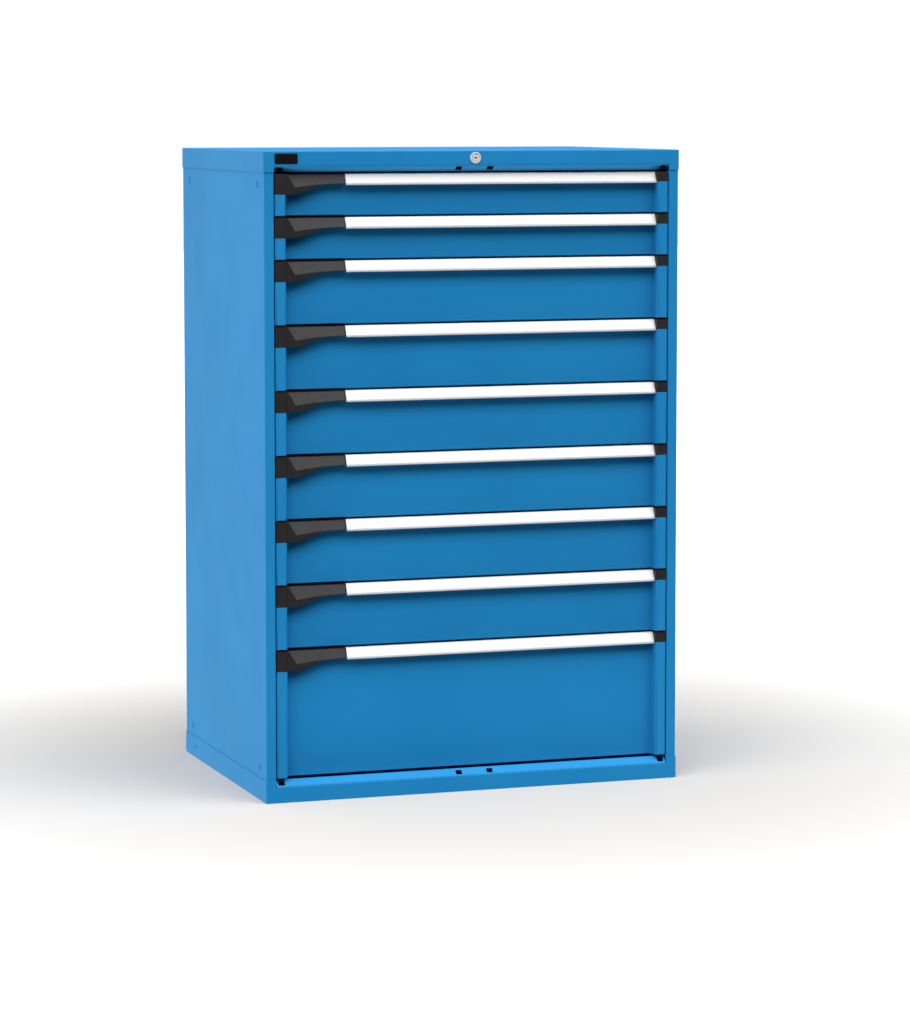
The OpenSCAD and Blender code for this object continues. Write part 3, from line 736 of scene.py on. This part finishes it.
def tray_bottom(n, low):
    pan = add_block(f"tray_{n}_bottom", (-TRAY_HW + TRAY_SHEET, TRAY_Y0, low),
                    (TRAY_HW - TRAY_SHEET, TRAY_Y1, low + BOTTOM_LIP))
    open_edit(pan)
    pick_faces(pan, lambda centre, normal: normal.z > 0.9)
    bpy.ops.mesh.delete(type="ONLY_FACE")
    close_edit()
    round_edges(pan, RIM_R, 2)
    thicken(pan, TRAY_SHEET)
    return pan


def tray_channel(n, side, low):
    z0 = low + RUNNER_LIFT
    outer = TRAY_HW + CHANNEL_D
    section = [(outer, z0), (TRAY_HW, z0), (TRAY_HW, z0 + RUNNER_H), (outer, z0 + RUNNER_H)]
    if side < 0:
        section = [(-x, z) for x, z in reversed(section)]
    path = [(x, runner_low.y, z) for x, z in section]
    run = (0, runner_high.y - runner_low.y, 0)
    return fold_sheet(f"tray_{n}_channel", path, run, RUNNER_WALL, CHANNEL_FOLD_R)


def lock_bracket(n, low):
    z0 = low + BRACKET_LIFT
    bracket = add_block(f"tray_{n}_bracket", (TRAY_HW, BRACKET_Y, z0),
                        (FRONT_HW - FRONT_SHEET, BRACKET_Y + BRACKET_T, z0 + BRACKET_H))
    round_edges(bracket, BRACKET_EDGE_R, 2)
    return bracket


def drawer_tray(n):
    low = front_low(n) + TRAY_LIFT
    height = front_top(n) - TRAY_DROP - low
    edge_x = WIDE_CELLS * CELL / 2
    back_y = TRAY_Y1 + TRAY_SHEET
    front_rim = (0, 2 * TRAY_SHEET, 0)
    walls = [
        punched_wall("tray_right", (TRAY_HW, TRAY_Y0, low), (0, 1, 0), DEEP_CELLS, height, (RIM, 0, 0)),
        punched_wall("tray_left", (-TRAY_HW, TRAY_Y1, low), (0, -1, 0), DEEP_CELLS, height, (-RIM, 0, 0)),
        punched_wall("tray_back", (edge_x, back_y, low), (-1, 0, 0), WIDE_CELLS, height, (0, RIM, 0)),
        punched_wall("tray_front", (-edge_x, TRAY_Y0, low), (1, 0, 0), WIDE_CELLS, height, front_rim)]
    channels = [tray_channel(n, side, low) for side in (1, -1)]
    fittings = [tray_bottom(n, low), *channels, lock_bracket(n, low)]
    tray = join(walls + fittings, f"drawer_{n}_tray")
    return finish(tray, f"drawer_{n}", "blue_paint", blue_coat)


for n in DRAWERS:
    tray = drawer_tray(n)
print("trays: the tallest has", len(tray.data.polygons), "faces")

# %% [markdown]
# ## Handles and labels
# The handle is a drawn section with a sloped face, a lip below it that keeps the label in, and a
# flange at the back for its screws. The frame's own section is right, so a copy of it is merged and
# its edges are eased. The label strip lies on the slope, a plane with a thickness and soft edges.

# %% Handles and labels
LABEL_TOP = Vector((0, 16 * MM, -2.5 * MM))
LABEL_FOOT = Vector((0, 6.4 * MM, -22.5 * MM))
LABEL_T = 0.6 * MM
LABEL_END = 0.8 * MM
HANDLE_EDGE_R = 0.4 * MM


def label_strip(n):
    low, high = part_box(f"drawer_{n}_handle")
    foot = Vector((low.x + LABEL_END, STRIP_Y, front_top(n))) + LABEL_FOOT
    along = Vector((high.x - low.x - 2 * LABEL_END, 0, 0))
    strip = add_plane(f"drawer_{n}_label", foot, along, LABEL_TOP - LABEL_FOOT)
    apply_modifier(strip, "SOLIDIFY", thickness=LABEL_T, offset=1)
    round_edges(strip, LABEL_T / 3, 2)
    return finish(strip, f"drawer_{n}", "white_handle", label_card)


for n in DRAWERS:
    handle = rounded_copy(f"drawer_{n}_handle", f"drawer_{n}_handle_bar", HANDLE_EDGE_R)
    finish(handle, f"drawer_{n}", "white_handle", satin_aluminium, f"drawer_{n}_handle")
    label = label_strip(n)
print("handles:", len(handle.data.polygons), "faces, labels", len(label.data.polygons))

# %% [markdown]
# ## End pieces and thumb latches
# The left end of a handle is a housing with the thumb latch beside it, the right end a small cap.
# All are moulded, so no edge is sharper than about half a millimetre. They are copies of the
# frame's pieces, which have the true slope, curve and pivots, with every edge rounded.

# %% End pieces and latches
END_EDGE_R = 0.5 * MM
LATCH_EDGE_R = 0.4 * MM
LATCH_SHARP = 15
LATCH_CREASE = 16
for n in DRAWERS:
    ends = rounded_copy(f"drawer_{n}_handle_ends", f"drawer_{n}_end_pieces", END_EDGE_R)
    finish(ends, f"drawer_{n}", "black_plastic", black_plastic, f"drawer_{n}_handle_ends")
    latch = rounded_copy(f"drawer_{n}_latch", f"drawer_{n}_thumb_latch", LATCH_EDGE_R, angle=LATCH_SHARP)
    finish(latch, f"latch_{n}", "black_plastic", black_plastic, f"drawer_{n}_latch", crease=LATCH_CREASE)
print("end pieces:", len(ends.data.polygons), "faces, latches", len(latch.data.polygons))

# %% [markdown]
# ## The lock
# The lock's face is a bright rosette with a turned groove round the plug. The rosette starts as a
# cylinder. Its front face is inset again and again, and each ring is pushed in or out, as on a
# lathe. The plug with its slot is a copy of the frame's, because it turns inside the rosette, and
# the round in the middle of the keyhole is drilled into it. A small black block fills the hole from
# just below the face: painted shade, which keeps the keyhole as dark as a deep hole looks.

# %% Rosette and plug
ROSETTE_R = (lock_high.x - lock_low.x) / 2
ROSETTE_PROUD = RAIL_Y - lock_low.y
ROSETTE_CROWN = 0.3 * MM
ROSETTE_EDGE_R = 0.12 * MM
ROSETTE_SHARP = 25
BORE_DEPTH = 8 * MM
# Width and depth of each ring in mm, from the rim inwards; a depth below nought comes forward.
RINGS = [(1.0, -0.3), (1.9, 0.0), (0.3, 2.2), (2.1, 0.0), (0.3, -2.0), (0.8, 0.0)]

rosette_middle = LOCK_PLACE - Vector((0, (ROSETTE_PROUD - ROSETTE_CROWN) / 2, 0))
rosette = add_cylinder("lock_rosette", rosette_middle, ALONG_Y, ROSETTE_R,
                       ROSETTE_PROUD - ROSETTE_CROWN, sides=72)
open_edit(rosette)
pick_faces(rosette, lambda centre, normal: normal.y < -0.99)
for width, depth in RINGS:
    bpy.ops.mesh.inset(thickness=width * MM)
    bpy.ops.transform.translate(value=(0, depth * MM, 0))
draw_out((0, BORE_DEPTH, 0))
bpy.ops.mesh.delete(type="FACE")
close_edit()
round_edges(rosette, ROSETTE_EDGE_R, 2, ROSETTE_SHARP)
finish(rosette, "cabinet", "bright_steel", bright_nickel, "lock_barrel")

KEY_ROUND_R = 2.4 * MM
KEY_DEPTH = 7 * MM
PLUG_FACE_EDGE_R = 0.3 * MM
plug = rounded_copy("lock_plug", "lock_plug_face", PLUG_FACE_EDGE_R)
drill(plug, (0, lock_low.y, LOCK_PLACE.z), ALONG_Y, KEY_ROUND_R, 2 * KEY_DEPTH)
finish(plug, "lock_core", "bright_steel", bright_nickel, "lock_plug")
print("rosette:", len(rosette.data.polygons), "faces, plug", len(plug.data.polygons))

# %% Painted shade in the keyhole
KEY_SLOT_L = 7 * MM
KEY_SLOT_W = 2.2 * MM
KEY_SINK = 0.4 * MM
KEY_PLAY = 0.1 * MM
SHADE_BLOCK_EDGE_R = 0.1 * MM
shade_block_half = Vector((KEY_SLOT_L / 2 - KEY_PLAY, 0, KEY_SLOT_W / 2 - KEY_PLAY))
shade_block_front = Vector((0, lock_low.y + KEY_SINK, LOCK_PLACE.z))
shade_block_back = Vector((0, lock_low.y + KEY_DEPTH - KEY_PLAY, LOCK_PLACE.z))
# A black block just below the lock face fills the keyhole: painted shade where a deep hole is dark.
shade_block = add_block("keyhole_shade_block", shade_block_front - shade_block_half, shade_block_back + shade_block_half)
shade_block_round = add_cylinder("shade_block_round", (shade_block_front + shade_block_back) / 2, ALONG_Y,
                           KEY_ROUND_R - KEY_PLAY, (shade_block_back - shade_block_front).length)
combine(shade_block, shade_block_round, "UNION")
round_edges(shade_block, SHADE_BLOCK_EDGE_R, 2)
finish(shade_block, "lock_core", "black_plastic", black_plastic)
print("keyhole guide:", len(shade_block.data.polygons), "faces")

# %% [markdown]
# ## Runners, uprights and lock bars
# These show when a drawer is open. The frame's shapes are right, so copies with eased edges do for
# the runners and uprights, and the small lock parts inside keep the frame's own meshes with a zinc
# finish.

# %% Inner metalwork
RUNNER_EDGE_R = 0.4 * MM
UPRIGHT_EDGE_R = 0.6 * MM
MIDDLE_EDGE_R = 0.5 * MM
runners = rounded_copy("cabinet_runners", "cabinet_runner_channels", RUNNER_EDGE_R)
finish(runners, "cabinet", "zinc", zinc_plate, "cabinet_runners")
uprights = rounded_copy("runner_uprights", "runner_upright_sheets", UPRIGHT_EDGE_R)
finish(uprights, "cabinet", "blue_paint", blue_coat, "runner_uprights")
for n in DRAWERS:
    middle = rounded_copy(f"drawer_{n}_mid_runners", f"drawer_{n}_middle_runners", MIDDLE_EDGE_R)
    finish(middle, f"mid_runners_{n}", "zinc", zinc_plate, f"drawer_{n}_mid_runners")
for node in ("lock_cam", "lock_rod", "lock_bar", "lock_guides"):
    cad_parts[node].data.materials.clear()
    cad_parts[node].data.materials.append(zinc_plate)
print("inner pieces dressed")

# %% [markdown]
# ## Floor and light
# The photograph is a studio picture on white. Its light comes from white cloths round the cabinet:
# most from above and in front, so that each handle throws a soft shade on the panel under it, some
# from beside and behind, more of it from the left, and some from a white sheet below, which lifts the
# lips that face down. The camera's own side is dark. Each cloth is a part of the sky here, with soft
# limits along the axes, so the light stays the same when a drawer opens. The floor only has to take
# the soft shadow, so it lets the light from below pass. Near the cabinet its colour is darker and
# warmer than far away: a painted shadow that deepens the soft shadow round the base, with a warm
# tint that cancels the blue light the paint throws on it, so the shade is a plain grey that fades
# into white. To the camera the sky is plain white.

# %% Floor
FLOOR_SIZE = 60
# Painted shadow: the floor colour is darker near the cabinet, with a warm tint there that cancels the
# blue light the paint throws on it.
FLOOR_PAINTED_SHADOW = (0.51, 0.495, 0.48, 1)
FLOOR_FAR = (0.80, 0.80, 0.80, 1)
FLOOR_PAINTED_SHADOW_R = 0.5
FLOOR_FAR_R = 2.9
FLOOR_ROUGHNESS = 0.9
bpy.ops.object.select_all(action="DESELECT")
bpy.ops.mesh.primitive_plane_add(size=FLOOR_SIZE)
floor = place_new("floor")
floor_paint, shader = start_material("floor_white_painted_shadow", FLOOR_PAINTED_SHADOW, FLOOR_ROUGHNESS)
shader.inputs["Specular IOR Level"].default_value = 0.0
floor_nodes, floor_links = floor_paint.node_tree.nodes, floor_paint.node_tree.links
place = floor_nodes.new("ShaderNodeTexCoord")
distance = floor_nodes.new("ShaderNodeVectorMath")
distance.operation = "LENGTH"
spread = floor_nodes.new("ShaderNodeMapRange")
spread.interpolation_type = "SMOOTHSTEP"
spread.inputs["From Min"].default_value = FLOOR_PAINTED_SHADOW_R
spread.inputs["From Max"].default_value = FLOOR_FAR_R
painted_shadow_tones = floor_nodes.new("ShaderNodeValToRGB")
painted_shadow_tones.color_ramp.elements[0].color = FLOOR_PAINTED_SHADOW
painted_shadow_tones.color_ramp.elements[1].color = FLOOR_FAR
floor_links.new(place.outputs["Object"], distance.inputs[0])
floor_links.new(distance.outputs["Value"], spread.inputs["Value"])
floor_links.new(spread.outputs["Result"], painted_shadow_tones.inputs["Fac"])
floor_links.new(painted_shadow_tones.outputs["Color"], shader.inputs["Base Color"])
floor.data.materials.append(floor_paint)
floor.visible_diffuse = False
floor.visible_glossy = False
floor.visible_shadow = False
print("floor", FLOOR_SIZE, "m wide")

# %% Sky
LIGHT_ABOVE = 3.4
LIGHT_ABOVE_IN_FRONT = 5.2
LIGHT_BELOW = 5.0
LIGHT_LEFT = 0.9
LIGHT_RIGHT = 0.4
LIGHT_BEHIND_LEFT = 0.7
LIGHT_BEHIND_RIGHT = 0.3
SKY_SEEN = 1.0

# A limit of a part of the sky: an axis, where the light is nought and where it is full.
ALONG_FRONT = (("Y", -0.4, -0.25), ("Y", 0.05, -0.05))
IN_FRONT = (("Y", -0.8, -0.65), ("Y", -0.25, -0.4))
BESIDE = (("Y", -0.1, 0.0), ("Y", 0.5, 0.4))
BEHIND = ("Y", -0.05, 0.05)
LEFT_HALF, RIGHT_HALF = ("X", 0.1, -0.1), ("X", -0.1, 0.1)
FAR_LEFT, FAR_RIGHT = ("X", -0.45, -0.7), ("X", 0.45, 0.7)
HIGH, FAIRLY_HIGH, LOW = ("Z", 0.45, 0.7), ("Z", 0.4, 0.6), ("Z", -0.45, -0.7)

world = bpy.data.worlds.new("studio_sky")
world.use_nodes = True
bpy.context.scene.world = world
bpy.context.scene.view_settings.view_transform = "Standard"
sky_nodes, sky_links = world.node_tree.nodes, world.node_tree.links
background = sky_nodes["Background"]
background.inputs["Color"].default_value = (1, 1, 1, 1)
direction = sky_nodes.new("ShaderNodeTexCoord")
axes = sky_nodes.new("ShaderNodeSeparateXYZ")
sky_links.new(direction.outputs["Generated"], axes.inputs["Vector"])


def soft_step(source, start, end, low, high):
    """Go smoothly from low to high while the source goes from start to end."""
    step = sky_nodes.new("ShaderNodeMapRange")
    step.interpolation_type = "SMOOTHSTEP"
    step.inputs["From Min"].default_value = start
    step.inputs["From Max"].default_value = end
    for name, value in (("To Min", low), ("To Max", high)):
        if isinstance(value, float):
            step.inputs[name].default_value = value
        else:
            sky_links.new(value, step.inputs[name])
    sky_links.new(source, step.inputs["Value"])
    return step.outputs["Result"]


def lit_part(strength, *limits):
    """Light the part of the sky that lies within all the limits."""
    light = strength
    for axis, dark, full in limits:
        light = soft_step(axes.outputs[axis], dark, full, 0.0, light)
    return light


def add_lights(first, second):
    """Sum two parts of the sky."""
    total = sky_nodes.new("ShaderNodeMath")
    total.operation = "ADD"
    sky_links.new(first, total.inputs[0])
    sky_links.new(second, total.inputs[1])
    return total.outputs["Value"]


sky_light = lit_part(LIGHT_BEHIND_LEFT, BEHIND, LEFT_HALF)
for part in (lit_part(LIGHT_BEHIND_RIGHT, BEHIND, RIGHT_HALF),
             lit_part(LIGHT_ABOVE, *ALONG_FRONT, HIGH),
             lit_part(LIGHT_ABOVE_IN_FRONT, *IN_FRONT, FAIRLY_HIGH),
             lit_part(LIGHT_BELOW, *ALONG_FRONT, LOW),
             lit_part(LIGHT_LEFT, *BESIDE, FAR_LEFT),
             lit_part(LIGHT_RIGHT, *BESIDE, FAR_RIGHT)):
    sky_light = add_lights(sky_light, part)
rays = sky_nodes.new("ShaderNodeLightPath")
seen = soft_step(rays.outputs["Is Camera Ray"], 0.0, 1.0, sky_light, SKY_SEEN)
sky_links.new(seen, background.inputs["Strength"])
print("sky of", len(sky_nodes), "nodes")
